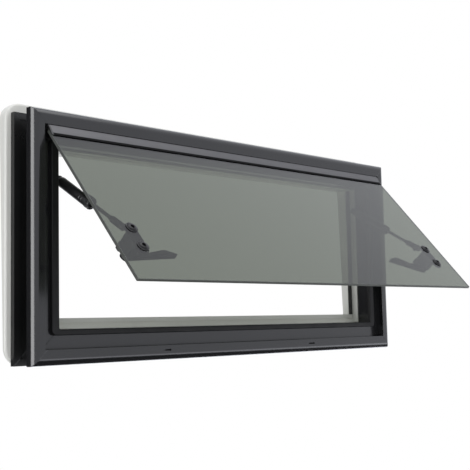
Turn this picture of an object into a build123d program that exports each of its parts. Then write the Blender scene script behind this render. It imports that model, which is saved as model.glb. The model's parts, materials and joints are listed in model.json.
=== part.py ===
from build123d import *
import math
import os

# Top-hung caravan window, as seen from outside: X to the right, Z up,
# +Y through the wall to the inside. The origin lies on the flat back face
# of the outer flange, in the middle of its bottom rail. The sash stands open.
# All lengths are in millimetres.

# Outer frame
frame_width = 920.0
frame_height = 408.0
border_depth = 20.0
border_rounding = 12.0
stile_border_width = 22.0
rail_border_width = 26.0
border_inner_rounding = 1.0
floor_thickness = 3.0
seat_width = 38.0
neck_wall = 17.0
neck_side_wall = 14.5
neck_length = 46.0
drain_slot_length = 16.0
drain_slot_height = 2.4
drain_hole_radius = 1.9
drain_slot_depth = 8.0
drain_slot_offset = 200.0
drain_slot_rise = 17.0

# Clamp frame behind the wall
wall_gap = 38.0
clamp_thickness = 8.0
clamp_neck_clearance = 0.5
clamp_band_width = 11.0
clamp_band_height = 2.0

# Seal that the pane closes on
seal_width = 10.0
seal_side_width = 14.0
seal_overhang = 2.0
seal_gap = 0.3
seal_outer_corner = 8.0
seal_inner_corner = 3.0
seal_rounding = 2.5

# Interior frame, deeper at the top where the blind rolls up
liner_clearance = 0.3
liner_wall = 2.5
liner_length = 21.0
interior_side_overhang = 10.0
interior_top_overhang = 18.0
interior_bottom_overhang = -0.5
interior_corner = 28.0
interior_rounding = 4.0
interior_bottom_depth = 52.0
interior_top_depth = 64.0
lip_side_inset = 70.0
lip_sill_inset = 75.0
lip_top_inset = 58.5
sill_front = 30.0
sill_slope_depth = 16.0
guide_front = 39.0
guide_depth = 8.0
guide_cover = 1.5

# Sash and its hinge
opening_angle = 41.7
hinge_y = -12.0
hinge_drop = 29.5
bead_radius = 3.0
bead_clearance = 0.08
socket_wall = 2.0
neck_thickness = 2.0
neck_reach = 9.0
neck_angle = 36.0
socket_opening_low = 13.0
socket_opening_high = 101.0
pane_side_clearance = 5.0
pane_rail_clearance = 9.0
pane_thickness = 5.0
pane_tuck = 12.0
pane_offset = 3.6
pane_edge_chamfer = 0.5
gasket_height = 5.2
gasket_thickness = 1.6
strip_wall = 1.9
strip_drop = 20.0
strip_bulge = 7.5
strip_top_reach = 7.8
strip_top_drop = 3.6
channel_clearance = 0.15
channel_wall = 1.8
channel_back_leg = 5.5
end_cap_thickness = 3.0

# Latches on the inner face of the pane
latch_inset = 46.0
latch_rise = 88.25
screw_spacing = 39.4
screw_head_radius = 10.2
screw_head_height = 3.4
screw_head_rounding = 2.1
screw_radius = 3.0
screw_clearance = 0.3
screw_plate_clearance = 0.05
screw_end_clearance = 1.0
screw_end_recess = 2.0
plate_half_width = 11.0
plate_corner = 9.9
plate_end_reach = 12.0
plate_thickness = 3.0
housing_width = 20.0
housing_above = 23.0
housing_below = 12.0
housing_height = 27.0
housing_corner = 7.0
hook_width = 16.0
hook_gap = 2.5
hook_corner = 2.0
lever_gap = 0.4
lever_thickness = 8.8
lever_boss_radius = 10.0
lever_reach = 97.0
lever_tip_slant = 2.5
lever_tip_height = 2.0
lever_hump_inset = 20.0
lever_hump_length = 6.0
lever_hump_height = 12.5
lever_waist = 38.0
lever_waist_height = 7.8
lever_root = 8.5
lever_angles = {"left": 5.4, "right": 16.5}
lever_rise = -2.6
lever_pin_radius = 3.0
lever_pin_clearance = 0.05

# Telescopic stays
stay_offset = 1.7
stay_foot_y = 16.0
stay_foot_drop = 107.0
stay_head_depth = 10.6
stay_head_rise = 14.55
sleeve_radius = 8.6
sleeve_cap_radius = 9.2
sleeve_cap_length = 12.0
sleeve_cap_chamfer = 1.0
sleeve_length = 104.0
sleeve_start = 5.0
sleeve_bore_start = 10.0
eye_radius = 7.0
eye_thickness = 6.0
rod_radius = 3.0
rod_clearance = 0.1
rod_end_clearance = 3.4
fitting_radius = 5.6
fitting_length = 35.0
fitting_chamfer = 1.0
foot_pin_radius = 2.5
foot_pin_clearance = 0.05
foot_pin_tip = 1.0
bracket_thickness = 2.8
bracket_corner = 3.0
bracket_half_height = 14.0
bracket_front = 4.0
bracket_back = 24.0
lug_gap = 0.5
lug_thickness = 6.0
lug_radius = 6.0
lug_foot = 10.0

# Places worked out from the sizes above
half_width = frame_width / 2
frame_bottom = -seat_width / 2
frame_top = frame_bottom + frame_height
neck_inset = seat_width + neck_wall
neck_side_inset = seat_width + neck_side_wall
seal_inset = neck_inset + seal_overhang
seal_side_inset = neck_side_inset + seal_overhang
liner_gap = liner_clearance + liner_wall
liner_inset = neck_inset + liner_gap
liner_side_inset = neck_side_inset + liner_gap
clamp_back = wall_gap + clamp_thickness
hinge_z = frame_top - hinge_drop
pane_front = hinge_y - pane_offset
pane_back = pane_front + pane_thickness
pane_line = hinge_z - strip_drop - gasket_height / 2
pane_bottom = frame_bottom + rail_border_width + pane_rail_clearance
pane_top = pane_line + pane_tuck
pane_width = frame_width - 2 * (stile_border_width + pane_side_clearance)
latch_x = pane_width / 2 - latch_inset
latch_z = pane_bottom + latch_rise
lever_z = latch_z + lever_rise
lever_front = pane_back + housing_height + lever_gap
lever_back = lever_front + lever_thickness
stay_x = latch_x + stay_offset
screw_heights = {
    "upper": latch_z + screw_spacing / 2,
    "lower": latch_z - screw_spacing / 2,
}
sides = {"left": -1, "right": 1}
stay_foot = (stay_foot_y, frame_top - stay_foot_drop)
stay_head_closed = (pane_back + stay_head_depth, screw_heights["upper"] + stay_head_rise)
hinge_axis = Axis((0, hinge_y, hinge_z), (1, 0, 0))


def block(x_low, x_high, y_low, y_high, z_low, z_high):
    """A plain block between six planes."""
    size = Box(x_high - x_low, y_high - y_low, z_high - z_low)
    centre = Pos((x_low + x_high) / 2, (y_low + y_high) / 2, (z_low + z_high) / 2)
    return centre * size


def inset_block(side, bottom, top, front, back):
    """A block set in from the outer edges of the frame."""
    return block(
        -half_width + side, half_width - side, front, back, frame_bottom + bottom, frame_top - top
    )


def along_y(shape):
    """The edges of a block that run through the wall."""
    return shape.edges().filter_by(Axis.Y)


def front_edges(shape):
    """The outermost edges on the side that faces outside."""
    return shape.edges().group_by(Axis.Y)[0]


def prism_xz(points, y_low, y_high):
    """A solid with the outline given in X and Z."""
    face = make_face(Plane.XZ * Polyline(*points, close=True))
    return Pos(0, y_low, 0) * extrude(face, amount=y_high - y_low, dir=(0, 1, 0))


def bar_yz(sketch, length):
    """A bar along X with the section given in Y and Z, centred on X."""
    return Pos(-length / 2, 0, 0) * extrude(Plane.YZ * sketch, amount=length)


def mitred(ring, side, bottom, top):
    """The four mitred pieces of a ring whose outer edges overhang the frame."""
    reach = 120.0
    spare = 20.0
    depth = 200.0
    left, right = -half_width - side, half_width + side
    low, high = frame_bottom - bottom, frame_top + top
    outer = [
        (left - spare, low - spare),
        (right + spare, low - spare),
        (right + spare, high + spare),
        (left - spare, high + spare),
    ]
    inner = [
        (left + reach, low + reach),
        (right - reach, low + reach),
        (right - reach, high - reach),
        (left + reach, high - reach),
    ]
    pieces = {}
    for number, name in enumerate(("bottom", "right", "top", "left")):
        after = (number + 1) % 4
        wedge = prism_xz([outer[number], outer[after], inner[after], inner[number]], -depth, depth)
        pieces[name] = ring & wedge
    return pieces


def mirrored(shape, direction):
    """The shape for the right side, mirrored for the left one."""
    return shape if direction > 0 else shape.mirror(Plane.YZ)


def opened(shape):
    """A piece of the closed sash, swung to the open position."""
    return shape.rotate(hinge_axis, -opening_angle)


def opened_point(point):
    """A point (Y, Z) of the closed sash, swung to the open position."""
    angle = math.radians(opening_angle)
    y = point[0] - hinge_y
    z = point[1] - hinge_z
    return (
        hinge_y + y * math.cos(angle) + z * math.sin(angle),
        hinge_z - y * math.sin(angle) + z * math.cos(angle),
    )


def drain_slot(x):
    """Water outlet in the bottom rail: a slot with a round hole at its end."""
    low = frame_bottom + drain_slot_rise - drain_slot_height / 2
    slot = block(
        x, x + drain_slot_length, -border_depth, drain_slot_depth - border_depth,
        low, low + drain_slot_height,
    )
    hole = Cylinder(drain_hole_radius, drain_slot_depth, rotation=(90, 0, 0))
    place = Pos(x + drain_slot_length, drain_slot_depth / 2 - border_depth, low + drain_slot_height / 2)
    return slot + place * hole


def outer_frame():
    """Raised border, floor under the pane and neck through the wall."""
    body = inset_block(0, 0, 0, -border_depth, 0)
    body = fillet(front_edges(body), border_rounding)
    body -= inset_block(
        stile_border_width, rail_border_width, rail_border_width, -border_depth, -floor_thickness
    )
    body -= inset_block(neck_side_inset, neck_inset, neck_inset, -floor_thickness, 0)
    inner_lip = [
        edge for edge in front_edges(body)
        if abs(edge.center().X) < half_width - stile_border_width + 1
        and frame_bottom + rail_border_width - 1 < edge.center().Z < frame_top - rail_border_width + 1
    ]
    body = fillet(inner_lip, border_inner_rounding)
    neck = inset_block(seat_width, seat_width, seat_width, 0, neck_length)
    neck -= inset_block(neck_side_inset, neck_inset, neck_inset, 0, neck_length)
    body += neck
    for x in (-drain_slot_offset, drain_slot_offset - drain_slot_length):
        body -= drain_slot(x)
    return mitred(body, 0, 0, 0)


def clamp_frame():
    """Flat ring that grips the wall from inside, with a raised outer band."""
    inner = seat_width - clamp_neck_clearance
    body = inset_block(0, 0, 0, wall_gap, clamp_back)
    band = inset_block(0, 0, 0, wall_gap - clamp_band_height, wall_gap)
    band -= inset_block(
        clamp_band_width, clamp_band_width, clamp_band_width, wall_gap - clamp_band_height, wall_gap
    )
    body += band
    body -= inset_block(inner, inner, inner, wall_gap, clamp_back)
    return mitred(body, 0, 0, 0)


def pane_seal():
    """Soft bead round the opening."""
    front = pane_back + seal_gap
    outer = inset_block(
        seal_side_inset - seal_side_width, seal_inset - seal_width, seal_inset - seal_width,
        front, -floor_thickness,
    )
    outer = fillet(along_y(outer), seal_outer_corner)
    inner = inset_block(seal_side_inset, seal_inset, seal_inset, front, -floor_thickness)
    inner = fillet(along_y(inner), seal_inner_corner)
    ring = outer - inner
    ring = fillet(front_edges(ring), seal_rounding)
    return mitred(ring, 0, 0, 0)


def interior_frame():
    """Moulded frame on the inside, with its liner, lips and sloped sill."""
    outer = inset_block(
        -interior_side_overhang, -interior_bottom_overhang, -interior_top_overhang,
        clamp_back, interior_top_depth,
    )
    outer = fillet(along_y(outer), interior_corner)
    outer = fillet(front_edges(outer), interior_rounding)
    liner = inset_block(
        neck_side_inset + liner_clearance, neck_inset + liner_clearance,
        neck_inset + liner_clearance, clamp_back - liner_length, clamp_back,
    )
    body = outer + liner
    body -= inset_block(
        liner_side_inset, liner_inset, liner_inset, clamp_back - liner_length, guide_front
    )
    body -= inset_block(
        lip_side_inset, lip_sill_inset, lip_top_inset, guide_front, interior_top_depth
    )
    guide_outer = half_width - liner_side_inset
    guide_inner = half_width - lip_side_inset + guide_cover
    for direction in sides.values():
        low, high = sorted((direction * guide_inner, direction * guide_outer))
        body -= block(
            low, high, guide_front, guide_front + guide_depth,
            frame_bottom + lip_sill_inset, frame_top - lip_top_inset,
        )
    body += sill()
    return mitred(body - sloped_back(), interior_side_overhang, interior_bottom_overhang,
                  interior_top_overhang)


def sill():
    """Sloped inner sill that rises from the liner to the back lip."""
    low = frame_bottom + liner_inset
    high = frame_bottom + lip_sill_inset
    back = sill_front + sill_slope_depth
    section = Polyline(
        (sill_front, low), (back, high), (back, low), close=True
    )
    return bar_yz(make_face(section), frame_width - 2 * liner_side_inset)


def sloped_back():
    """What is cut from the back so that the frame gets deeper towards the top."""
    spare = interior_corner
    low = frame_bottom - spare
    high = frame_top + spare
    slope = (interior_top_depth - interior_bottom_depth) / frame_height
    section = Polyline(
        (interior_bottom_depth - slope * spare, low),
        (interior_top_depth + slope * spare, high),
        (interior_top_depth + spare, high),
        (interior_top_depth + spare, low),
        close=True,
    )
    return bar_yz(make_face(section), frame_width + 2 * spare)


def blind_guide():
    """Dark channel for the blind in the side lip of the interior frame."""
    return block(
        half_width - lip_side_inset + guide_cover, half_width - liner_side_inset,
        guide_front, guide_front + guide_depth,
        frame_bottom + lip_sill_inset, frame_top - lip_top_inset,
    )


def ray(angle, reach):
    """A point at a distance from the hinge, its angle taken from straight down to outside."""
    turn = math.radians(angle)
    return (hinge_y - reach * math.sin(turn), hinge_z - reach * math.cos(turn))


def hinge_rail():
    """Socket that holds the bead of the sash, on a foot under the top border."""
    centre = Pos(hinge_y, hinge_z)
    socket = bead_radius + bead_clearance
    outside = socket + socket_wall
    cut_reach = 3 * outside
    foot_top = frame_top - rail_border_width
    foot = Pos((hinge_y - floor_thickness) / 2, (hinge_z + foot_top) / 2) * Rectangle(
        -floor_thickness - hinge_y, foot_top - hinge_z
    )
    middle = (socket_opening_low + socket_opening_high) / 2
    mouth = make_face(Polyline(
        (hinge_y, hinge_z), ray(socket_opening_low, cut_reach), ray(middle, cut_reach),
        ray(socket_opening_high, cut_reach), close=True,
    ))
    above = Pos(hinge_y, foot_top + cut_reach / 2) * Rectangle(2 * cut_reach, cut_reach)
    section = centre * Circle(outside) + foot - centre * Circle(socket) - mouth - above
    return bar_yz(section, pane_width)


def strip_outline():
    """Curved front of the hinge strip, from its lower edge to its upper one."""
    return ThreePointArc(
        (pane_front - gasket_thickness, hinge_z - strip_drop),
        (hinge_y - strip_bulge, hinge_z - strip_drop / 2),
        (hinge_y - strip_top_reach, hinge_z - strip_top_drop),
    )


def sash_hinge_profile():
    """Bead, curved strip and channel that holds the top edge of the pane."""
    front = strip_outline()
    channel_front = pane_front - channel_clearance
    channel_back = pane_back + channel_clearance
    channel_top = pane_top + channel_clearance
    web_top = channel_top + channel_wall
    leg_bottom = channel_top - channel_back_leg
    strip_top_inner = (hinge_y - strip_top_reach + strip_wall, hinge_z - strip_top_drop)
    inside = Polyline(
        front @ 1, strip_top_inner, (strip_top_inner[0], web_top), (channel_back + channel_wall, web_top),
        (channel_back + channel_wall, leg_bottom), (channel_back, leg_bottom),
        (channel_back, channel_top), (channel_front, channel_top),
        (channel_front, (front @ 0).Y), front @ 0,
    )
    neck = Pos(*ray(neck_angle, neck_reach / 2)) * Rot(0, 0, -neck_angle) * Rectangle(
        neck_thickness, neck_reach
    )
    section = make_face(front + inside) + Pos(hinge_y, hinge_z) * Circle(bead_radius) + neck
    return bar_yz(section, pane_width - 2 * end_cap_thickness)


def sash_gasket():
    """Black line between the strip and the pane."""
    section = Pos(pane_front - gasket_thickness / 2, pane_line) * Rectangle(
        gasket_thickness, gasket_height
    )
    return bar_yz(section, pane_width - 2 * end_cap_thickness)


def hinge_end_cap():
    """Plate that closes the right end of the strip."""
    front = strip_outline()
    lower = (pane_front, hinge_z - strip_drop - gasket_height)
    outline = front + Polyline(
        front @ 1, (hinge_y - strip_top_reach + 2 * strip_wall, hinge_z - strip_top_drop),
        (pane_front, pane_top + channel_clearance), lower,
        (pane_front - gasket_thickness, lower[1]), front @ 0,
    )
    plate = extrude(Plane.YZ * make_face(outline), amount=end_cap_thickness)
    return Pos(pane_width / 2 - end_cap_thickness, 0, 0) * plate


def through_hole(radius, x, z, y_low, y_high):
    """A round bar through the wall direction."""
    bar = Cylinder(radius, y_high - y_low, rotation=(90, 0, 0))
    return Pos(x, (y_low + y_high) / 2, z) * bar


def glass_pane():
    """Single pane with drilled holes for the latch screws."""
    pane = block(-pane_width / 2, pane_width / 2, pane_front, pane_back, pane_bottom, pane_top)
    pane = chamfer(pane.edges().filter_by(Axis.X), pane_edge_chamfer)
    for direction in sides.values():
        for z in screw_heights.values():
            pane -= through_hole(
                screw_radius + screw_clearance, direction * latch_x, z, pane_front, pane_back
            )
    return pane


def latch_screw(z):
    """Round-headed screw through the pane into the right latch."""
    head = through_hole(screw_head_radius, latch_x, z, pane_front - screw_head_height, pane_front)
    head = fillet(front_edges(head), screw_head_rounding)
    shank = through_hole(screw_radius, latch_x, z, pane_front, pane_back + plate_thickness)
    return head + shank


def latch_base():
    """Screw plate, stay lug and stand-off housing of the right latch."""
    back = pane_back + plate_thickness
    plate = block(
        latch_x - plate_half_width, latch_x + plate_half_width, pane_back, back,
        screw_heights["lower"] - plate_end_reach, screw_heights["upper"] + plate_end_reach,
    )
    plate = fillet(along_y(plate), plate_corner)
    for z in screw_heights.values():
        plate -= through_hole(screw_radius + screw_plate_clearance, latch_x, z, pane_back, back)
    housing = block(
        latch_x - housing_width / 2, latch_x + housing_width / 2, back, lever_front - lever_gap,
        lever_z - housing_below, lever_z + housing_above,
    )
    housing = fillet(along_y(housing), housing_corner)
    hook = block(
        latch_x - hook_width / 2, latch_x + hook_width / 2, lever_front - lever_gap, lever_back,
        lever_z + lever_boss_radius + hook_gap, lever_z + housing_above,
    )
    hook = fillet(along_y(hook), hook_corner)
    for z in screw_heights.values():
        housing -= through_hole(
            screw_radius + screw_end_clearance, latch_x, z, back, back + screw_end_recess
        )
    pin = through_hole(
        lever_pin_radius, latch_x, lever_z, lever_front - lever_gap, lever_back
    )
    return plate + housing + hook + pin + stay_lug()


def stay_lug():
    """Ear on the latch plate beside the end of the stay."""
    x_high = stay_x - fitting_radius - lug_gap
    x_low = x_high - lug_thickness
    y, z = stay_head_closed
    ear = Cylinder(lug_radius, lug_thickness, rotation=(0, 90, 0))
    ear = Pos((x_low + x_high) / 2, y, z) * ear
    web = make_face(Plane.YZ * Polyline(
        (pane_back, z), (pane_back, z - lug_foot), (pane_back + plate_thickness, z - lug_foot),
        (y + lug_radius, z), (y, z + lug_radius), (pane_back + plate_thickness, z + lug_radius / 2),
        close=True,
    ))
    return ear + Pos(x_low, 0, 0) * extrude(web, amount=lug_thickness)


def latch_lever(angle):
    """Lever that turns on the housing of the right latch, its tip raised by an angle."""
    low = lever_z - lever_boss_radius
    tip = latch_x - lever_reach
    root_rise = math.sqrt(lever_boss_radius ** 2 - lever_root ** 2)
    boss = through_hole(lever_boss_radius, latch_x, lever_z, lever_front, lever_back)
    arm = prism_xz([
        (latch_x, low), (tip + lever_tip_slant, low), (tip, low + lever_tip_height),
        (tip + lever_hump_inset, low + lever_hump_height),
        (tip + lever_hump_inset + lever_hump_length, low + lever_hump_height),
        (latch_x - lever_waist, low + lever_waist_height),
        (latch_x - lever_root, lever_z + root_rise), (latch_x, lever_z),
    ], lever_front, lever_back)
    hole = through_hole(
        lever_pin_radius + lever_pin_clearance, latch_x, lever_z, lever_front, lever_back
    )
    pin_axis = Axis((latch_x, 0, lever_z), (0, 1, 0))
    return (boss + arm - hole).rotate(pin_axis, angle)


def stay_angle_and_length(head):
    """Angle of a stay from straight down to outside, and its length."""
    y = head[0] - stay_foot[0]
    z = head[1] - stay_foot[1]
    return math.degrees(math.atan2(-y, -z)), math.hypot(y, z)


def on_stay(shape):
    """Stand a piece modelled down the Z axis on the line of the right open stay."""
    angle, _ = stay_angle_and_length(opened_point(stay_head_closed))
    return Pos(stay_x, stay_foot[0], stay_foot[1]) * Rot(-angle, 0, 0) * shape


def down(radius, start, end):
    """A round bar down the Z axis between two distances."""
    return Pos(0, 0, -(start + end) / 2) * Cylinder(radius, end - start)


def cross_bar(radius, length, depth):
    """A round bar along X, centred at a distance down the Z axis."""
    return Pos(0, 0, -depth) * Cylinder(radius, length, rotation=(0, 90, 0))


def stay_sleeve():
    """Tube of the stay with its eye round the foot pin."""
    tube = down(sleeve_radius, sleeve_start, sleeve_length - sleeve_cap_length)
    eye = cross_bar(eye_radius, eye_thickness, 0)
    bore = down(rod_radius + rod_clearance, sleeve_bore_start, sleeve_length)
    pin_hole = cross_bar(foot_pin_radius + foot_pin_clearance, 4 * sleeve_radius, 0)
    return on_stay(tube + eye - bore - pin_hole)


def stay_sleeve_cap():
    """Grip cap at the open end of the tube."""
    cap = down(sleeve_cap_radius, sleeve_length - sleeve_cap_length, sleeve_length)
    cap = chamfer(cap.edges().group_by(Axis.Z)[0], sleeve_cap_chamfer)
    return on_stay(cap - down(rod_radius + rod_clearance, 0, sleeve_length))


def stay_rod():
    """Rod that slides in the tube."""
    _, closed_length = stay_angle_and_length(stay_head_closed)
    _, length = stay_angle_and_length(opened_point(stay_head_closed))
    start = sleeve_bore_start + rod_end_clearance + length - closed_length
    return on_stay(down(rod_radius, start, length - fitting_length))


def stay_fitting():
    """Thicker end of the rod, beside the lug of the latch."""
    _, length = stay_angle_and_length(opened_point(stay_head_closed))
    body = down(fitting_radius, length - fitting_length, length)
    body = chamfer(body.edges().group_by(Axis.Z)[-1], fitting_chamfer)
    return on_stay(body + Pos(0, 0, -length) * Sphere(fitting_radius))


def stay_bracket():
    """Plate on the inside of the neck with the pin that carries the stay."""
    plate_x = half_width - neck_side_inset - bracket_thickness
    y, z = stay_foot
    plate = block(
        plate_x, plate_x + bracket_thickness, bracket_front, bracket_back,
        z - bracket_half_height, z + bracket_half_height,
    )
    plate = fillet(plate.edges().filter_by(Axis.X), bracket_corner)
    tip = stay_x - eye_thickness / 2 - foot_pin_tip
    pin = Cylinder(foot_pin_radius, plate_x - tip, rotation=(0, 90, 0))
    return plate + Pos((plate_x + tip) / 2, y, z) * pin


def write(name, shape):
    """Write one sub-part."""
    export_step(shape, f"parts/{name}.step")


def write_set(name, pieces):
    """Write the four sides of a ring."""
    for side, piece in pieces.items():
        write(f"{name}_{side}", piece)


os.makedirs("parts", exist_ok=True)

write_set("outer_frame", outer_frame())
write_set("clamp_frame", clamp_frame())
write_set("pane_seal", pane_seal())
write_set("interior_frame", interior_frame())
write("hinge_rail", hinge_rail())
write("glass_pane", opened(glass_pane()))
write("sash_hinge_profile", opened(sash_hinge_profile()))
write("sash_gasket", opened(sash_gasket()))

for side, direction in sides.items():
    write(f"blind_guide_{side}", mirrored(blind_guide(), direction))
    write(f"hinge_end_cap_{side}", mirrored(opened(hinge_end_cap()), direction))
    write(f"latch_base_{side}", mirrored(opened(latch_base()), direction))
    write(f"latch_lever_{side}", mirrored(opened(latch_lever(lever_angles[side])), direction))
    for place, height in screw_heights.items():
        write(f"{place}_screw_{side}", mirrored(opened(latch_screw(height)), direction))
    write(f"stay_sleeve_{side}", mirrored(stay_sleeve(), direction))
    write(f"stay_sleeve_cap_{side}", mirrored(stay_sleeve_cap(), direction))
    write(f"stay_rod_{side}", mirrored(stay_rod(), direction))
    write(f"stay_fitting_{side}", mirrored(stay_fitting(), direction))
    write(f"stay_bracket_{side}", mirrored(stay_bracket(), direction))
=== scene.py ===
import bpy
import bmesh
import json
import math
from mathutils import Matrix, Vector


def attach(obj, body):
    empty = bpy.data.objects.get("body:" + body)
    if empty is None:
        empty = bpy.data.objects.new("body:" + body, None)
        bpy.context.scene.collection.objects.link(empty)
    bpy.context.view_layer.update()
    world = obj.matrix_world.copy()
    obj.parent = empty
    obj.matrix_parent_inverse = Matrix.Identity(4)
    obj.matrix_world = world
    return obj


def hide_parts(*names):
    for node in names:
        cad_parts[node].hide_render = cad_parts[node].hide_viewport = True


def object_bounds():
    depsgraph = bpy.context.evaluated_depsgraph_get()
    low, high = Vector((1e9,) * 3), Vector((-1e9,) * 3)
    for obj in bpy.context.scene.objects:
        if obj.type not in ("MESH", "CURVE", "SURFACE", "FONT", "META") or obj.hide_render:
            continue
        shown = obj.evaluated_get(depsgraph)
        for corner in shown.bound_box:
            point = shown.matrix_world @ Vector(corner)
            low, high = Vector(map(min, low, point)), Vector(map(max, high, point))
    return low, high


# Top-hung caravan window with its sash open. Metres; X to the right seen from
# outside, Z up, +Y through the wall to the inside.
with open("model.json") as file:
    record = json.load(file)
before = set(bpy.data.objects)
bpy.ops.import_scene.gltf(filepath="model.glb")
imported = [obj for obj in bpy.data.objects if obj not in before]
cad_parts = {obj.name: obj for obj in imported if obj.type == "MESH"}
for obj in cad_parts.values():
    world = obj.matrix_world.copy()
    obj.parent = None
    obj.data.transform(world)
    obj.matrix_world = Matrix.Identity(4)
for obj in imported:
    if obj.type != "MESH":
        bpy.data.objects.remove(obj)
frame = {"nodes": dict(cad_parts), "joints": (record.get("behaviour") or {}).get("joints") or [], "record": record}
cad_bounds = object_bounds()
record = frame["record"]
joints = {joint["name"]: joint for joint in frame["joints"]}
directions = {"left": -1, "right": 1}

# The sash hinge gives the plane that the pane lies in
hinge_place = Vector(joints["sash_hinge"]["pos_m"])
opening = math.radians(max(joints["sash_hinge"]["range_deg"]))
opened = (
    Matrix.Translation(hinge_place)
    @ Matrix.Rotation(-opening, 4, "X")
    @ Matrix.Translation(-hinge_place)
)
closed = opened.inverted()

# Camera, as the photograph was taken: the window's middle is ahead of it
camera_place = Vector((-1.2407, -1.2470, 0.0393))
camera_yaw = math.radians(44.86)
camera_pitch = math.radians(5.54)
camera_roll = math.radians(-1.28)
camera_lens = 70.6
sensor_width = 36.0

# Light and surroundings
surround_strength = 1.0
room_light = 0.95
gloss_tint = (0.96, 0.98, 1.05, 1)
dark_side = Vector((-0.55, 0.83, 0.0))
dark_level = 0.06
horizon_glow = 2.6
side_power = 85.0
side_size = (2.3, 2.2)
side_distance = 2.5
side_azimuth = math.radians(86.0)
top_power = 30.0
top_size = (3.0, 2.2)
top_height = 2.9
top_forward = 0.8
floor_drop = 0.55
floor_size = 24.0
floor_near = 1.1
floor_far = 2.0

# Light that only reflections see: where the dark corner and the ground begin and end
corner_start, corner_full = 0.78, 0.93
ground_full, glow_low, glow_high, ground_start = -0.5, -0.43, -0.3, -0.2

# Hairlines that the materials draw: mitre joints, and the pane's dark edge band, which is painted shade
mitre_width = 0.0005
edge_shade_width = 0.0008

# Rounded edges and steps round a circle, for all small parts
fine_edge = 0.0004
soft_edge = 0.0012
round_steps = 48
small_steps = 32

# Lever of a latch, about its pin
lever_drop = 30.0
lever_reach = 0.097
lever_boss = 0.010
lever_root_angle = 148.0
lever_waist = 0.038
lever_waist_top = -0.0024
lever_hump_start = 0.026
lever_hump_end = 0.020
lever_hump_top = 0.0024
lever_tip_height = 0.002
lever_tip_slant = 0.0025
lever_ease = 0.004
boss_ring_outer = 0.72
boss_ring_inner = 0.62
boss_ring_foot = 0.58
boss_ring_rise = 0.6

# Grip ribs on the lever
rib_count = 6
rib_height = 0.0005
rib_width = 0.0013
rib_pitch = 0.0032
rib_start = 0.012
rib_corner = 0.0006
rib_foot = 0.0018
rib_slant_start = 0.004
rib_slant_foot = 0.0062
rib_slant = 0.5

# Base of a latch
plate_half_width = 0.011
plate_end_reach = 0.012
plate_corner = 0.0098
plate_edge = 0.0009
housing_half_width = 0.0096
housing_below = 0.0116
housing_above = 0.0226
housing_corner = 0.0068
housing_edge = 0.0013
housing_sink = 0.0008
housing_gap = 0.0004
band_count = 3
band_start = -0.002
band_pitch = 0.0075
band_half_width = 0.0101
band_half_height = 0.0008
band_stop = 0.003
hook_half_width = 0.008
hook_gap = 0.0025
hook_top = 0.023
hook_corner = 0.002
hook_edge = 0.001
pin_root = 0.002
lever_pin_radius = 0.003
lever_pin_dimple = 0.0013
collar_radius = 0.0072
collar_sink = 0.0006
collar_height = 0.0015

# Lug for the end of a stay
lug_gap = 0.0005
lug_thickness = 0.006
lug_radius = 0.006
lug_height = 0.0106
lug_foot = 0.001
lug_sink = 0.0005
lug_shoulder = 0.0026
lug_length = 0.0098
lug_edge = 0.0008
rivet_radius = 0.0034

# Telescopic stay, along its own line from the foot pin
tube_start = 0.0052
tube_shoulder_end = 0.0115
tube_rings = (0.016, 0.009)
tube_ring_depth = 0.95
tube_steps = 56
eye_radius = 0.007
eye_back = 0.0075
eye_half_thickness = 0.003
eye_edge = 0.0007
rod_clearance = 0.0001
collar_end = 0.0032
grip_overlap = 0.003
grip_chamfer = 0.0024
flute_count = 18
flute_depth = 0.0007
flute_steps = 8
rod_end_neck = 0.7
rod_end_groove = 0.9
ball_steps = 8

# Bracket that carries a stay
bracket_thickness = 0.0028
bracket_half_width = 0.01
bracket_half_height = 0.014
bracket_corner = 0.003
bracket_edge = 0.0006
foot_pin_radius = 0.0025
washer_radius = 0.0045
bracket_screw_reach = 0.0098
bracket_screw_radius = 0.003
bracket_screw_shift = 0.001


def local_extent(node, matrix):
    """Lowest and highest corner of a node's mesh in the space that the matrix leads to."""
    points = [matrix @ vertex.co for vertex in frame["nodes"][node].data.vertices]
    low = Vector([min(point[axis] for point in points) for axis in range(3)])
    high = Vector([max(point[axis] for point in points) for axis in range(3)])
    return low, high


# Materials

def new_material(name):
    """A node material, its tree and its shader."""
    material = bpy.data.materials.new(name)
    material.use_nodes = True
    tree = material.node_tree
    shader = tree.nodes["Principled BSDF"]
    return material, tree, shader


def add_node(tree, kind, **values):
    """A node of a kind, with its named inputs set."""
    node = tree.nodes.new(kind)
    for name, value in values.items():
        node.inputs[name.replace("_", " ")].default_value = value
    return node


def object_place(tree):
    """Coordinates fixed to the piece, in metres."""
    return tree.nodes.new("ShaderNodeTexCoord").outputs["Object"]


def noise(tree, scale, detail=3.0, roughness=0.5):
    """Noise fixed to the piece; scale is in cells per metre."""
    node = add_node(tree, "ShaderNodeTexNoise", Scale=scale, Detail=detail, Roughness=roughness)
    tree.links.new(object_place(tree), node.inputs["Vector"])
    return node.outputs["Fac"]


def spread(tree, value, low, high):
    """The value's middle stretched to run between two numbers."""
    node = add_node(tree, "ShaderNodeMapRange")
    node.inputs["From Min"].default_value = 0.3
    node.inputs["From Max"].default_value = 0.7
    node.inputs["To Min"].default_value = low
    node.inputs["To Max"].default_value = high
    tree.links.new(value, node.inputs["Value"])
    return node.outputs["Result"]


def mottle(tree, shader, colour, amount, scale):
    """A base colour that varies slightly over the surface."""
    mix = tree.nodes.new("ShaderNodeMix")
    mix.data_type = "RGBA"
    mix.inputs[6].default_value = [*(part * (1 - amount) for part in colour), 1]
    mix.inputs[7].default_value = [*(min(1, part * (1 + amount)) for part in colour), 1]
    tree.links.new(noise(tree, scale), mix.inputs["Factor"])
    tree.links.new(mix.outputs[2], shader.inputs["Base Color"])


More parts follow.
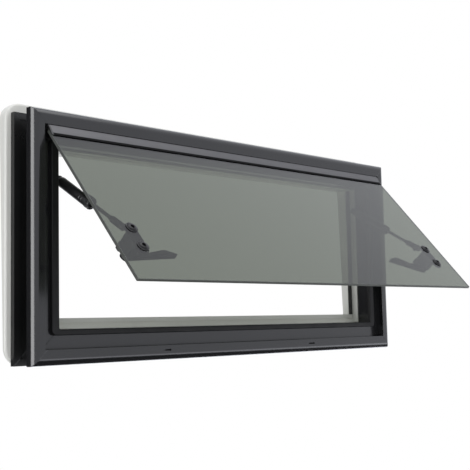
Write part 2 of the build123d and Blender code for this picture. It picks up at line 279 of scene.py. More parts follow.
def grain(tree, shader, scale, distance, strength=1.0, detail=3.0):
    """Fine relief over the whole surface."""
    bump = add_node(tree, "ShaderNodeBump", Strength=strength, Distance=distance)
    tree.links.new(noise(tree, scale, detail), bump.inputs["Height"])
    tree.links.new(bump.outputs["Normal"], shader.inputs["Normal"])


def varied_roughness(tree, shader, low, high, scale):
    """Slightly cloudy gloss, as handled surfaces have."""
    tree.links.new(spread(tree, noise(tree, scale), low, high), shader.inputs["Roughness"])


def maths(tree, operation, first, second=None):
    """A sum on links or numbers."""
    node = tree.nodes.new("ShaderNodeMath")
    node.operation = operation
    for slot, value in enumerate((first, second)):
        if isinstance(value, (int, float)):
            node.inputs[slot].default_value = value
        elif value is not None:
            tree.links.new(value, node.inputs[slot])
    return node.outputs[0]


def mitre_groove(tree, shader):
    """Hairline where two mitred profiles meet, cut into the surface at each corner."""
    low, high = local_extent("outer_frame_left", Matrix.Identity(4))
    parts = tree.nodes.new("ShaderNodeSeparateXYZ")
    tree.links.new(object_place(tree), parts.inputs["Vector"])
    from_side = maths(tree, "SUBTRACT", -low.x, maths(tree, "ABSOLUTE", parts.outputs["X"]))
    from_bottom = maths(tree, "SUBTRACT", parts.outputs["Z"], low.z)
    from_top = maths(tree, "SUBTRACT", high.z, parts.outputs["Z"])
    from_end = maths(tree, "MINIMUM", from_bottom, from_top)
    apart = maths(tree, "ABSOLUTE", maths(tree, "SUBTRACT", from_side, from_end))
    height = add_node(tree, "ShaderNodeMapRange")
    height.inputs["From Max"].default_value = mitre_width
    tree.links.new(apart, height.inputs["Value"])
    bump = add_node(tree, "ShaderNodeBump", Strength=1.0, Distance=mitre_width)
    tree.links.new(height.outputs["Result"], bump.inputs["Height"])
    tree.links.new(shader.inputs["Normal"].links[0].from_socket, bump.inputs["Normal"])
    tree.links.new(bump.outputs["Normal"], shader.inputs["Normal"])


def coated_aluminium():
    """Black powder coat: smooth, semi-gloss, with a very fine orange peel."""
    material, tree, shader = new_material("black_coated_aluminium")
    mottle(tree, shader, (0.0075, 0.0077, 0.0088), 0.15, 18)
    varied_roughness(tree, shader, 0.17, 0.22, 9)
    shader.inputs["IOR"].default_value = 1.58
    grain(tree, shader, 900, 0.00003, 0.35)
    mitre_groove(tree, shader)
    return material


def clamp_coating():
    """The clamp frame's coat, duller than the outside's."""
    material, tree, shader = new_material("black_clamp_coating")
    mottle(tree, shader, (0.0085, 0.0088, 0.009), 0.3, 14)
    varied_roughness(tree, shader, 0.26, 0.34, 12)
    grain(tree, shader, 1400, 0.00004, 0.4)
    mitre_groove(tree, shader)
    return material


def grey_aluminium():
    """Dark grey anodised profile, drawn lengthways."""
    material, tree, shader = new_material("grey_aluminium")
    mottle(tree, shader, (0.1, 0.1, 0.105), 0.1, 30)
    shader.inputs["Metallic"].default_value = 0.55
    varied_roughness(tree, shader, 0.34, 0.42, 14)
    place = object_place(tree)
    stretch = add_node(tree, "ShaderNodeMapping")
    stretch.inputs["Scale"].default_value = (6, 2600, 2600)
    tree.links.new(place, stretch.inputs["Vector"])
    lines = add_node(tree, "ShaderNodeTexNoise", Scale=1.0, Detail=2.0)
    tree.links.new(stretch.outputs["Vector"], lines.inputs["Vector"])
    bump = add_node(tree, "ShaderNodeBump", Strength=0.25, Distance=0.00002)
    tree.links.new(lines.outputs["Fac"], bump.inputs["Height"])
    tree.links.new(bump.outputs["Normal"], shader.inputs["Normal"])
    return material


def rubber():
    """Matt black seal."""
    material, tree, shader = new_material("seal_rubber")
    mottle(tree, shader, (0.009, 0.009, 0.0095), 0.25, 40)
    varied_roughness(tree, shader, 0.42, 0.56, 30)
    shader.inputs["Specular IOR Level"].default_value = 0.2
    grain(tree, shader, 2200, 0.00006, 0.5)
    return material


def painted_shade_gasket():
    """The strip's gasket, which lies in a groove: near black with next to no gloss, as painted shade for the
    shadow in that groove.
    """
    material, tree, shader = new_material("gasket_painted_shade")
    # painted shade: the near-black colour and low specular stand in for the groove's shadow
    mottle(tree, shader, (0.002, 0.002, 0.0022), 0.25, 40)
    varied_roughness(tree, shader, 0.6, 0.75, 30)
    shader.inputs["Specular IOR Level"].default_value = 0.08
    grain(tree, shader, 2200, 0.00006, 0.5)
    return material


def cream_plastic():
    """Light moulded plastic with a fine satin texture."""
    material, tree, shader = new_material("cream_plastic")
    mottle(tree, shader, (0.66, 0.665, 0.64), 0.03, 12)
    varied_roughness(tree, shader, 0.38, 0.46, 20)
    grain(tree, shader, 1900, 0.00004, 0.35)
    return material


def black_plastic():
    """Moulded nylon of the latches, stays and guides."""
    material, tree, shader = new_material("black_plastic")
    mottle(tree, shader, (0.0095, 0.0095, 0.0105), 0.2, 35)
    varied_roughness(tree, shader, 0.3, 0.42, 45)
    grain(tree, shader, 2600, 0.00005, 0.45)
    return material


def gloss_black_plastic():
    """Polished screw heads."""
    material, tree, shader = new_material("gloss_black_plastic")
    mottle(tree, shader, (0.006, 0.006, 0.007), 0.1, 60)
    shader.inputs["Specular IOR Level"].default_value = 0.28
    varied_roughness(tree, shader, 0.1, 0.16, 60)
    return material


def blackened_steel():
    """Rods of the stays."""
    material, tree, shader = new_material("blackened_steel")
    mottle(tree, shader, (0.03, 0.03, 0.033), 0.15, 80)
    shader.inputs["Metallic"].default_value = 0.7
    varied_roughness(tree, shader, 0.22, 0.32, 90)
    return material


def pane_edge(tree):
    """One along the pane's side and bottom edges, nought on its faces."""
    low, high = local_extent("glass_pane", closed)
    upright = opened.to_3x3() @ Vector((0, 0, 1))
    bottom = (opened @ low).dot(upright)
    place = object_place(tree)
    rise = tree.nodes.new("ShaderNodeVectorMath")
    rise.operation = "DOT_PRODUCT"
    rise.inputs[1].default_value = upright
    tree.links.new(place, rise.inputs[0])
    parts = tree.nodes.new("ShaderNodeSeparateXYZ")
    tree.links.new(place, parts.inputs["Vector"])
    across = maths(tree, "ABSOLUTE", parts.outputs["X"])
    sides = maths(tree, "GREATER_THAN", across, high.x - edge_shade_width)
    below = maths(tree, "LESS_THAN", rise.outputs["Value"], bottom + edge_shade_width)
    return maths(tree, "MAXIMUM", sides, below)


def smoked_glass():
    """Grey-green glass whose side and bottom edge faces are painted dark grey: painted shade for the dark line
    along the glass edges.
    """
    material, tree, shader = new_material("smoked_glass")
    shader.inputs["Transmission Weight"].default_value = 1.0
    shader.inputs["IOR"].default_value = 1.5
    shader.inputs["Roughness"].default_value = 0.0
    shader.inputs["Base Color"].default_value = (0.139, 0.154, 0.114, 1)
    # painted shade: this opaque dark grey on the edge faces stands in for the darkening that light bent through
    # the glass edge gives
    ground = tree.nodes.new("ShaderNodeBsdfPrincipled")
    mottle(tree, ground, (0.055, 0.06, 0.055), 0.15, 300)
    varied_roughness(tree, ground, 0.4, 0.5, 200)
    edged = tree.nodes.new("ShaderNodeMixShader")
    tree.links.new(pane_edge(tree), edged.inputs["Fac"])
    tree.links.new(shader.outputs["BSDF"], edged.inputs[1])
    tree.links.new(ground.outputs["BSDF"], edged.inputs[2])
    path = tree.nodes.new("ShaderNodeLightPath")
    clear = tree.nodes.new("ShaderNodeBsdfTransparent")
    clear.inputs["Color"].default_value = (0.36, 0.39, 0.355, 1)
    mix = tree.nodes.new("ShaderNodeMixShader")
    tree.links.new(path.outputs["Is Shadow Ray"], mix.inputs["Fac"])
    tree.links.new(edged.outputs["Shader"], mix.inputs[1])
    tree.links.new(clear.outputs["BSDF"], mix.inputs[2])
    tree.links.new(mix.outputs["Shader"], tree.nodes["Material Output"].inputs["Surface"])
    return material


materials = {
    "black_coated_aluminium": coated_aluminium(),
    "clamp_coating": clamp_coating(),
    "grey_aluminium": grey_aluminium(),
    "seal_rubber": rubber(),
    "gasket_painted_shade": painted_shade_gasket(),
    "cream_plastic": cream_plastic(),
    "black_plastic": black_plastic(),
    "gloss_black_plastic": gloss_black_plastic(),
    "blackened_steel": blackened_steel(),
    "smoked_glass": smoked_glass(),
}


def dress_frame():
    """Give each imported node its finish."""
    special = {"clamp_frame": "clamp_coating", "sash_gasket": "gasket_painted_shade"}
    for part in record["subparts"]:
        node = part["node"]
        finish = part["material_slot"]
        for start, name in special.items():
            finish = name if node.startswith(start) else finish
        mesh = frame["nodes"][node].data
        mesh.materials.clear()
        mesh.materials.append(materials[finish])


# Mesh building

def finished(name, mesh_data, body, slot, matrix, replaced=(), crease=32):
    """Turn built geometry into a piece of the object that rides on a body."""
    mesh = bpy.data.meshes.new(name)
    bmesh.ops.recalc_face_normals(mesh_data, faces=mesh_data.faces)
    mesh_data.to_mesh(mesh)
    mesh_data.free()
    mesh.transform(matrix)
    if matrix.determinant() < 0:
        mesh.flip_normals()
    mesh.shade_smooth()
    mesh.set_sharp_from_angle(angle=math.radians(crease))
    mesh.materials.append(materials[slot])
    piece = bpy.data.objects.new(name, mesh)
    bpy.context.scene.collection.objects.link(piece)
    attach(piece, body)
    if replaced:
        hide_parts(*replaced)
    return piece


def rounded_edges(geometry, edges, size, steps=3):
    """Round some edges."""
    if size > 0:
        bmesh.ops.bevel(
            geometry, geom=list(edges), offset=size, offset_type="OFFSET", segments=steps,
            profile=0.5, affect="EDGES", clamp_overlap=True,
        )


def soft_outline(points, size, steps=4):
    """An outline whose corners are eased over a distance."""
    eased = []
    for number, corner in enumerate(points):
        corner = Vector(corner)
        before = Vector(points[number - 1]) - corner
        after = Vector(points[(number + 1) % len(points)]) - corner
        start = corner + before.normalized() * min(size, 0.45 * before.length)
        end = corner + after.normalized() * min(size, 0.45 * after.length)
        for step in range(steps + 1):
            part = step / steps
            point = start * (1 - part) ** 2 + corner * (2 * part * (1 - part)) + end * part ** 2
            eased.append((point.x, point.y))
    return eased


def add_prism(target, outline, low, high, edge=soft_edge, steps=3, turned=False):
    """A plate with an outline in X and Z, or in Y and Z where it is turned, its rims rounded."""
    part = bmesh.new()
    ring = [part.verts.new((x, low, z)) for x, z in outline]
    base = part.faces.new(ring)
    grown = bmesh.ops.extrude_face_region(part, geom=[base])
    lifted = [item for item in grown["geom"] if isinstance(item, bmesh.types.BMVert)]
    bmesh.ops.translate(part, vec=(0, high - low, 0), verts=lifted)
    rims = [item for item in part.edges if abs(item.verts[0].co.y - item.verts[1].co.y) < 1e-7]
    rounded_edges(part, rims, edge, steps)
    if turned:
        for vertex in part.verts:
            vertex.co = Vector((vertex.co.y, vertex.co.x, vertex.co.z))
    join(target, part)


def add_turned(target, profile, centre, axis="Y", steps=round_steps, flutes=0.0):
    """A turned piece: the profile holds radius and height pairs along the axis."""
    part = bmesh.new()
    turn = {
        "Y": Matrix.Rotation(-math.pi / 2, 4, "X"),
        "X": Matrix.Rotation(math.pi / 2, 4, "Y"),
        "Z": Matrix.Identity(4),
    }[axis]
    rings = []
    for radius, height in profile:
        if radius < 1e-7:
            rings.append([part.verts.new((0, 0, height))])
        else:
            ring = []
            for step in range(steps):
                angle = 2 * math.pi * step / steps
                reach = radius - flutes * max(0.0, math.cos(flute_count * angle)) ** 2
                ring.append(part.verts.new((reach * math.cos(angle), reach * math.sin(angle), height)))
            rings.append(ring)
    for lower, upper in zip(rings, rings[1:]):
        for step in range(steps):
            after = (step + 1) % steps
            corners = [lower[step % len(lower)], lower[after % len(lower)],
                       upper[after % len(upper)], upper[step % len(upper)]]
            corners = list(dict.fromkeys(corners))
            part.faces.new(corners)
    bmesh.ops.transform(part, matrix=Matrix.Translation(centre) @ turn, verts=part.verts)
    join(target, part)


def join(target, part):
    """Move finished geometry into the piece that is being built."""
    bmesh.ops.recalc_face_normals(part, faces=part.faces)
    mesh = bpy.data.meshes.new("passing")
    part.to_mesh(mesh)
    part.free()
    target.from_mesh(mesh)
    bpy.data.meshes.remove(mesh)


def arc(centre, radius, start, end, steps=10):
    """Points on an arc, its angles in degrees."""
    points = []
    for step in range(steps + 1):
        angle = math.radians(start + (end - start) * step / steps)
        points.append((centre[0] + radius * math.cos(angle), centre[1] + radius * math.sin(angle)))
    return points


def slot_outline(half_width, low, high, steps=12):
    """A long outline with round ends, upright."""
    lower = arc((0, low + half_width), half_width, 180, 360, steps)
    upper = arc((0, high - half_width), half_width, 0, 180, steps)
    return lower + upper


def block_outline(x_low, x_high, z_low, z_high, corner, steps=6):
    """A rectangle with round corners."""
    points = []
    for x, z, start in (
        (x_high - corner, z_low + corner, 270), (x_high - corner, z_high - corner, 0),
        (x_low + corner, z_high - corner, 90), (x_low + corner, z_low + corner, 180),
    ):
        points += arc((x, z), corner, start, start + 90, steps)
    return points


def shifted(outline, x, z):
    """An outline moved."""
    return [(px + x, pz + z) for px, pz in outline]


# Camera

def set_camera():
    """Stand the camera where the photograph was taken from."""
    ahead = Vector((
        math.sin(camera_yaw) * math.cos(camera_pitch),
        math.cos(camera_yaw) * math.cos(camera_pitch),
        math.sin(camera_pitch),
    ))
    level = Vector((math.cos(camera_yaw), -math.sin(camera_yaw), 0))
    rise = level.cross(ahead)
    right = level * math.cos(camera_roll) + rise * math.sin(camera_roll)
    up = -level * math.sin(camera_roll) + rise * math.cos(camera_roll)
    data = bpy.data.cameras.new("camera")
    data.lens = camera_lens
    data.sensor_width = sensor_width
    data.clip_start = 0.05
    data.clip_end = 100
    camera = bpy.data.objects.new("camera", data)
    turn = Matrix((right, up, -ahead)).transposed().to_4x4()
    camera.matrix_world = Matrix.Translation(camera_place) @ turn
    bpy.context.scene.collection.objects.link(camera)
    bpy.context.scene.camera = camera


# Light

def any_of(tree, path, names):
    """One where any of the named kinds of ray is seen."""
    total = path.outputs[names[0]]
    for name in names[1:]:
        total = maths(tree, "MAXIMUM", total, path.outputs[name])
    return total


def seen_strength(tree, path):
    """Full white to the eye, to reflections and through glass; plain room light to the rest."""
    seen = any_of(tree, path, ["Is Camera Ray", "Is Glossy Ray", "Is Transmission Ray"])
    level = add_node(tree, "ShaderNodeMapRange")
    level.inputs["To Min"].default_value = room_light
    level.inputs["To Max"].default_value = surround_strength
    tree.links.new(seen, level.inputs["Value"])
    return level.outputs["Result"]


def ramp(tree, value, stops):
    """A level that runs in straight steps through stops of value and level."""
    level = None
    for (low, start), (high, end) in zip(stops, stops[1:]):
        step = add_node(tree, "ShaderNodeMapRange")
        step.inputs["From Min"].default_value = low
        step.inputs["From Max"].default_value = high
        step.inputs["To Min"].default_value = start if level is None else 0.0
        step.inputs["To Max"].default_value = end if level is None else end - start
        tree.links.new(value, step.inputs["Value"])
        rise = step.outputs["Result"]
        level = rise if level is None else maths(tree, "ADD", level, rise)
    return level


def choose(tree, factor, usual, special):
    """One of two levels, by a factor of nought or one."""
    pick = tree.nodes.new("ShaderNodeMix")
    tree.links.new(factor, pick.inputs["Factor"])
    tree.links.new(usual, pick.inputs["A"])
    tree.links.new(special, pick.inputs["B"])
    return pick.outputs["Result"]


def set_world():
    """White surroundings; reflections find a dark corner, dark ground and a bright horizon."""
    world = bpy.data.worlds.new("studio")
    bpy.context.scene.world = world
    world.use_nodes = True
    tree = world.node_tree
    background = tree.nodes["Background"]
    path = tree.nodes.new("ShaderNodeLightPath")
    direction = tree.nodes.new("ShaderNodeTexCoord").outputs["Generated"]
    towards = tree.nodes.new("ShaderNodeVectorMath")
    towards.operation = "DOT_PRODUCT"
    towards.inputs[1].default_value = dark_side.normalized()
    tree.links.new(direction, towards.inputs[0])
    corner = ramp(tree, towards.outputs["Value"], [(corner_start, 1.0), (corner_full, dark_level)])
    parts = tree.nodes.new("ShaderNodeSeparateXYZ")
    tree.links.new(direction, parts.inputs["Vector"])
    ground = ramp(tree, parts.outputs["Z"], [
        (ground_full, dark_level), (glow_low, horizon_glow), (glow_high, horizon_glow), (ground_start, 1.0),
    ])
    reflected = maths(tree, "MULTIPLY", corner, ground)
    strength = choose(tree, path.outputs["Is Glossy Ray"], seen_strength(tree, path), reflected)
    tree.links.new(strength, background.inputs["Strength"])
    colour = tree.nodes.new("ShaderNodeMix")
    colour.data_type = "RGBA"
    colour.inputs[6].default_value = (1, 1, 1, 1)
    colour.inputs[7].default_value = gloss_tint
    tree.links.new(path.outputs["Is Glossy Ray"], colour.inputs["Factor"])
    tree.links.new(colour.outputs[2], background.inputs["Color"])


def add_lamp(name, place, target, size, power):
    """A soft rectangular lamp."""
    data = bpy.data.lights.new(name, "AREA")
    data.shape = "RECTANGLE"
    data.size, data.size_y = size
    data.energy = power
    lamp = bpy.data.objects.new(name, data)
    lamp.location = place
    lamp.rotation_euler = (target - place).to_track_quat("-Z", "Y").to_euler()
    bpy.context.scene.collection.objects.link(lamp)
    return lamp


def set_lamps():
    """A wide soft box on the left, for reflections alone, and a broad lamp above."""
    low, high = cad_bounds
    middle = (Vector(low) + Vector(high)) / 2
    edge = Vector((low[0], 0, middle.z))
    aside = Vector((-math.sin(side_azimuth), -math.cos(side_azimuth), 0))
    side = add_lamp("side", edge + side_distance * aside, edge, side_size, side_power)
    side.visible_diffuse = False
    side.visible_camera = False
    add_lamp("top", Vector((middle.x, middle.y - top_forward, top_height)), middle, top_size, top_power)


def set_floor():
    """Pale floor below the window that runs out into the white surroundings."""
    low, _ = cad_bounds
    mesh = bpy.data.meshes.new("floor")
    half = floor_size / 2
    level = low[2] - floor_drop
    corners = [(-half, -half, level), (half, -half, level), (half, half, level), (-half, half, level)]
    mesh.from_pydata(corners, [], [(0, 1, 2, 3)])
    floor = bpy.data.objects.new("floor", mesh)
    bpy.context.scene.collection.objects.link(floor)
    material, tree, shader = new_material("floor")
    shader.inputs["Base Color"].default_value = (0.93, 0.93, 0.93, 1)
    shader.inputs["Roughness"].default_value = 0.9
    shader.inputs["Specular IOR Level"].default_value = 0.1
    distance = tree.nodes.new("ShaderNodeVectorMath")
    distance.operation = "LENGTH"
    flat = add_node(tree, "ShaderNodeMapping")
    flat.inputs["Scale"].default_value = (1, 1, 0)
    tree.links.new(object_place(tree), flat.inputs["Vector"])
    tree.links.new(flat.outputs["Vector"], distance.inputs[0])
    fade = add_node(tree, "ShaderNodeMapRange")
    fade.interpolation_type = "SMOOTHSTEP"
    fade.inputs["From Min"].default_value = floor_near
    fade.inputs["From Max"].default_value = floor_far
    tree.links.new(distance.outputs["Value"], fade.inputs["Value"])
    glow = tree.nodes.new("ShaderNodeEmission")
    tree.links.new(seen_strength(tree, tree.nodes.new("ShaderNodeLightPath")), glow.inputs["Strength"])
    mix = tree.nodes.new("ShaderNodeMixShader")
    tree.links.new(fade.outputs["Result"], mix.inputs["Fac"])
    tree.links.new(shader.outputs["BSDF"], mix.inputs[1])
    tree.links.new(glow.outputs["Emission"], mix.inputs[2])
    tree.links.new(mix.outputs["Shader"], tree.nodes["Material Output"].inputs["Surface"])
    mesh.materials.append(material)
    floor.visible_glossy = False


# Small parts: screws, latches and stays

def screw_head(place, side):
    """Domed cap in a thin rim, with a round socket."""
    node = f"{place}_screw_{side}"
    low, high = local_extent(node, closed)
    glass_low, _ = local_extent("glass_pane", closed)
    radius = (high.x - low.x) / 2
    shank = 0.42 * radius
    face = glass_low.y
    proud = face - low.y
    centre = Vector(((low.x + high.x) / 2, face, (low.z + high.z) / 2))
    socket = 0.34 * radius
    geometry = bmesh.new()
    profile = [
        (0, high.y - face), (shank, high.y - face), (shank, 0), (radius, 0),
        (radius, -0.25 * proud), (0.97 * radius, -0.36 * proud), (0.86 * radius, -0.42 * proud),
        (0.83 * radius, -0.38 * proud), (0.79 * radius, -0.55 * proud), (0.66 * radius, -0.82 * proud),
        (0.5 * radius, -0.96 * proud), (socket * 1.12, -proud), (socket, -0.94 * proud),
        (socket * 0.96, -0.35 * proud), (0, -0.3 * proud),
    ]
    add_turned(geometry, profile, centre)
    finished(f"{place}_screw_cap_{side}", geometry, "sash", "gloss_black_plastic", opened, [node])


def side_space(side):
    """From the right half of the closed sash to either half of the open one."""
    return opened @ Matrix.Scale(directions[side], 4, (1, 0, 0))


def latch_lever(side):
    """Moulded lever with a round boss, an eased outline and grip ribs near its tip."""
    node = f"latch_lever_{side}"
    low, high = local_extent(node, closed)
    joint = joints[f"latch_turn_{side}"]
    pivot = closed @ Vector(joint["pos_m"])
    raised = math.radians(-joint["range_deg"][0] - lever_drop)
    face = high.y - low.y - rib_height
    geometry = bmesh.new()
    add_prism(geometry, lever_outline(), 0, face, soft_edge)
    ring = [
        (lever_boss * boss_ring_outer, face - rib_height),
        (lever_boss * boss_ring_outer, face + boss_ring_rise * rib_height),
        (lever_boss * boss_ring_inner, face + boss_ring_rise * rib_height),
        (lever_boss * boss_ring_foot, face - rib_height),
    ]
    add_turned(geometry, ring, Vector((0, 0, 0)))
    for number in range(rib_count):
        rib = rib_outline(-lever_reach + rib_start + number * rib_pitch)
        add_prism(geometry, rib, face - rib_height, face + rib_height, fine_edge)
    place = Matrix.Translation((abs(pivot.x), low.y, pivot.z)) @ Matrix.Rotation(raised, 4, "Y")
    matrix = side_space(side) @ place
    finished(f"latch_handle_{side}", geometry, node, "black_plastic", matrix, [node])


def lever_outline():
    """The boss, a waist, a hump and a slanted tip."""
    tip = -lever_reach
    arm = [
        (-lever_waist, lever_waist_top),
        (tip + lever_hump_start, lever_hump_top),
        (tip + lever_hump_end, lever_hump_top),
        (tip, lever_tip_height - lever_boss),
        (tip + lever_tip_slant, -lever_boss),
    ]
    return arc((0, 0), lever_boss, -90, lever_root_angle, 24) + soft_outline(arm, lever_ease)


def rib_outline(middle):
    """An upright rib that ends below the lever's slanted upper edge."""
    slant = rib_slant * (middle + lever_reach - rib_slant_start)
    top = min(0.0, slant - rib_slant_foot)
    half = rib_width / 2
    return block_outline(middle - half, middle + half, rib_foot - lever_boss, top, rib_corner)


def latch_base(side):
    """Screw plate, banded stand-off with its hook and pin, and the lug for the stay."""
    node = f"latch_base_{side}"
    low, high = local_extent(node, closed)
    lever_low, lever_high = local_extent(f"latch_lever_{side}", closed)
    pivot = closed @ Vector(joints[f"latch_turn_{side}"]["pos_m"])
    upper_low, upper_high = local_extent(f"upper_screw_{side}", closed)
    lower_low, lower_high = local_extent(f"lower_screw_{side}", closed)
    middle = Vector((abs(pivot.x), 0, pivot.z))
    upper = (upper_low.z + upper_high.z) / 2
    lower = (lower_low.z + lower_high.z) / 2
    plate_top = upper_high.y
    geometry = bmesh.new()
    plate = block_outline(
        middle.x - plate_half_width, middle.x + plate_half_width,
        lower - plate_end_reach, upper + plate_end_reach, plate_corner, 10,
    )
    add_prism(geometry, plate, low.y, plate_top, plate_edge)
    housing(geometry, middle, plate_top, lever_low.y)
    screw_collar(geometry, Vector((middle.x, 0, lower)), plate_top)
    hook = block_outline(
        middle.x - hook_half_width, middle.x + hook_half_width,
        middle.z + lever_boss + hook_gap, middle.z + hook_top, hook_corner, 5,
    )
    add_prism(geometry, hook, lever_low.y - pin_root, lever_high.y, hook_edge)
    pin = [
        (lever_pin_radius, lever_low.y - pin_root), (lever_pin_radius, lever_high.y - 0.0012),
        (lever_pin_radius - 0.0002, lever_high.y - 0.0004), (lever_pin_dimple + 0.0003, lever_high.y),
        (lever_pin_dimple, lever_high.y - 0.0007), (0, lever_high.y - 0.0007),
    ]
    add_turned(geometry, pin, middle, steps=small_steps)
    lug(geometry, side, high, low.y, plate_top)
    finished(f"latch_body_{side}", geometry, "sash", "black_plastic", side_space(side), [node])


def housing(geometry, middle, foot, top):
    """Stand-off that carries the lever, with bands round its sides."""
    body = block_outline(
        middle.x - housing_half_width, middle.x + housing_half_width,
        middle.z - housing_below, middle.z + housing_above, housing_corner, 8,
    )
    add_prism(geometry, body, foot - housing_sink, top - housing_gap, housing_edge)
    for number in range(band_count):
        height = middle.z + band_start + number * band_pitch
        band = block_outline(
            middle.x - band_half_width, middle.x + band_half_width,
            height - band_half_height, height + band_half_height, rib_corner, 3,
        )
        add_prism(geometry, band, foot - housing_sink, top - band_stop, fine_edge)


def screw_collar(geometry, centre, plate_top):
    """Low ring on the plate round the end of the lower screw."""
    collar = [
        (collar_radius, plate_top - collar_sink), (collar_radius, plate_top + collar_height - 0.0004),
        (collar_radius - 0.0008, plate_top + collar_height), (0.0038, plate_top + collar_height),
        (0.0034, plate_top + collar_sink), (0, plate_top + collar_sink),
    ]
    add_turned(geometry, collar, centre)


def lug(geometry, side, high, glass, plate_top):
    """Ear on the plate beside the end of the stay, with a rivet through it."""
    fit_low, fit_high = local_extent(f"stay_fitting_{side}", Matrix.Identity(4))
    outer = min(abs(fit_low.x), abs(fit_high.x)) - lug_gap
    inner = outer - lug_thickness
    centre = (glass + lug_height, high.z - lug_radius)
    ear = arc(centre, lug_radius, -20, 150, 16) + [
        (plate_top - lug_sink, centre[1] + lug_shoulder),
        (glass + lug_foot, centre[1] - lug_foot),
        (glass + lug_foot, centre[1] - lug_length),
        (plate_top, centre[1] - lug_length),
    ]
    add_prism(geometry, ear, inner, outer, lug_edge, turned=True)
    rivet = [(rivet_radius, -0.0006), (rivet_radius, 0.0003), (rivet_radius - 0.001, 0.0009), (0, 0.0011)]
    add_turned(geometry, downwards(rivet), Vector((inner, *centre)), "X", small_steps)


def downwards(profile):
    """A profile that runs the other way along its axis."""
    return [(radius, -height) for radius, height in profile]


def stay_space(side):
    """From a stay modelled down the Z axis from its foot pin to its place."""
    foot = Vector(joints[f"stay_turn_{side}"]["pos_m"])
    along = joints[f"stay_slide_{side}"]["axis"]
    lean = math.atan2(-along[1], -along[2])
    return Matrix.Translation(foot) @ Matrix.Rotation(-lean, 4, "X")


def stay_extent(node, space):
    """A stay piece's radius, and where it starts and ends along the stay."""
    low, high = local_extent(node, space.inverted())
    return (high.x - low.x) / 2, -high.z, -low.z


def stay_tube(side):
    """Tube with a rounded shoulder, two shallow rings and its eye."""
    node = f"stay_sleeve_{side}"
    space = stay_space(side)
    radius, _, end = stay_extent(node, space)
    geometry = bmesh.new()
    profile = [
        (0, tube_start), (0.55 * radius, tube_start), (0.82 * radius, tube_start + 0.001),
        (0.96 * radius, tube_start + 0.0033), (radius, tube_shoulder_end),
    ]
    for back in tube_rings:
        ring = end - back
        profile += [
            (radius, ring), (tube_ring_depth * radius, ring + 0.0006),
            (tube_ring_depth * radius, ring + 0.0022), (radius, ring + 0.0028),
        ]
    profile += [(radius, end), (0.4 * radius, end)]
    add_turned(geometry, downwards(profile), Vector((0, 0, 0)), "Z", tube_steps)
    eye = slot_outline(eye_radius, -eye_back, eye_radius, 14)
    add_prism(geometry, eye, -eye_half_thickness, eye_half_thickness, eye_edge, turned=True)
    finished(f"stay_tube_{side}", geometry, node, "black_plastic", space, [node])


def stay_grip(side):
    """Fluted cap with a smooth collar and a chamfered mouth."""
    node = f"stay_sleeve_cap_{side}"
    space = stay_space(side)
    radius, start, end = stay_extent(node, space)
    rod_radius, _, _ = stay_extent(f"stay_rod_{side}", space)
    mouth = rod_radius + rod_clearance
    geometry = bmesh.new()
    collar = [
        (mouth, start), (radius - 0.0006, start), (radius, start + 0.0006), (radius, start + 0.0026),
        (radius - 0.0009, start + collar_end), (mouth, start + collar_end),
    ]
    add_turned(geometry, downwards(collar), Vector((0, 0, 0)), "Z", flute_count * 4)
    grip = [
        (mouth, start + grip_overlap), (radius - 0.0004, start + grip_overlap),
        (radius - 0.0003, end - grip_chamfer), (radius - 0.0018, end - 0.0006),
        (mouth + 0.0022, end), (mouth, end - 0.0012),
    ]
    add_turned(geometry, downwards(grip), Vector((0, 0, 0)), "Z", flute_count * flute_steps, flute_depth)
    finished(f"stay_grip_{side}", geometry, f"stay_sleeve_{side}", "black_plastic", space, [node])


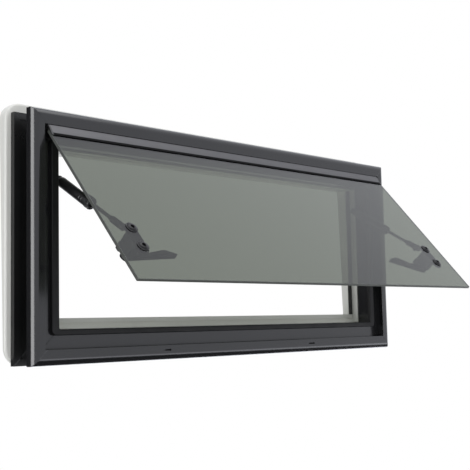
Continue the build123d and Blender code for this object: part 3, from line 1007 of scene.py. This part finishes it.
def stay_end(side):
    """Rod end: stepped collar, grooved body and ball."""
    node = f"stay_fitting_{side}"
    space = stay_space(side)
    radius, start, end = stay_extent(node, space)
    geometry = bmesh.new()
    profile = [
        (0, start), (0.62 * radius, start), (rod_end_neck * radius, start + 0.0006),
        (rod_end_neck * radius, start + 0.003), (0.98 * radius, start + 0.0065),
        (radius, start + 0.008), (radius, start + 0.012),
        (rod_end_groove * radius, start + 0.0128), (rod_end_groove * radius, start + 0.0148),
        (radius, start + 0.0156), (radius, end - radius),
    ]
    profile += arc((0, end - radius), radius, 0, 90, ball_steps)[1:]
    add_turned(geometry, downwards(profile), Vector((0, 0, 0)), "Z", round_steps)
    finished(f"stay_end_{side}", geometry, f"stay_rod_{side}", "black_plastic", space, [node])


def stay_foot(side):
    """Plate with two screws and the pin that carries the stay, held by a washer."""
    node = f"stay_bracket_{side}"
    flip = Matrix.Scale(directions[side], 4, (1, 0, 0))
    low, high = local_extent(node, flip)
    foot = flip @ Vector(joints[f"stay_turn_{side}"]["pos_m"])
    axle = Vector((0, foot.y, foot.z))
    face = high.x - bracket_thickness
    geometry = bmesh.new()
    plate = block_outline(
        -bracket_half_width, bracket_half_width, -bracket_half_height, bracket_half_height,
        bracket_corner, 6,
    )
    plate = shifted(plate, (low.y + high.y) / 2, foot.z)
    add_prism(geometry, plate, face, high.x, bracket_edge, turned=True)
    pin = [
        (0, low.x), (foot_pin_radius - 0.0004, low.x), (foot_pin_radius, low.x + 0.0004),
        (foot_pin_radius, face - 0.002), (0.0045, face - 0.0012), (0.005, face + 0.0004),
    ]
    add_turned(geometry, pin, axle, "X", small_steps)
    washer = [
        (0.0022, low.x + 0.0001), (washer_radius - 0.0002, low.x + 0.0001),
        (washer_radius, low.x + 0.0003), (washer_radius, low.x + 0.0007), (0.0022, low.x + 0.0008),
    ]
    add_turned(geometry, washer, axle, "X", small_steps)
    for reach in (-bracket_screw_reach, bracket_screw_reach):
        head = [
            (bracket_screw_radius, face + 0.0006), (bracket_screw_radius - 0.0001, face - 0.0004),
            (bracket_screw_radius - 0.001, face - 0.0009), (0.0009, face - 0.0010),
            (0.0007, face - 0.0003), (0, face - 0.0003),
        ]
        add_turned(geometry, head, axle + Vector((0, bracket_screw_shift, reach)), "X", 24)
    finished(f"stay_mount_{side}", geometry, "frame", "black_plastic", flip, [node])


def build_pieces():
    """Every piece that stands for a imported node."""
    for side in directions:
        for place in ("upper", "lower"):
            screw_head(place, side)
        latch_lever(side)
        latch_base(side)
        stay_tube(side)
        stay_grip(side)
        stay_end(side)
        stay_foot(side)


dress_frame()
set_camera()
set_world()
set_lamps()
set_floor()
build_pieces()

bpy.context.scene.view_settings.view_transform = "Standard"
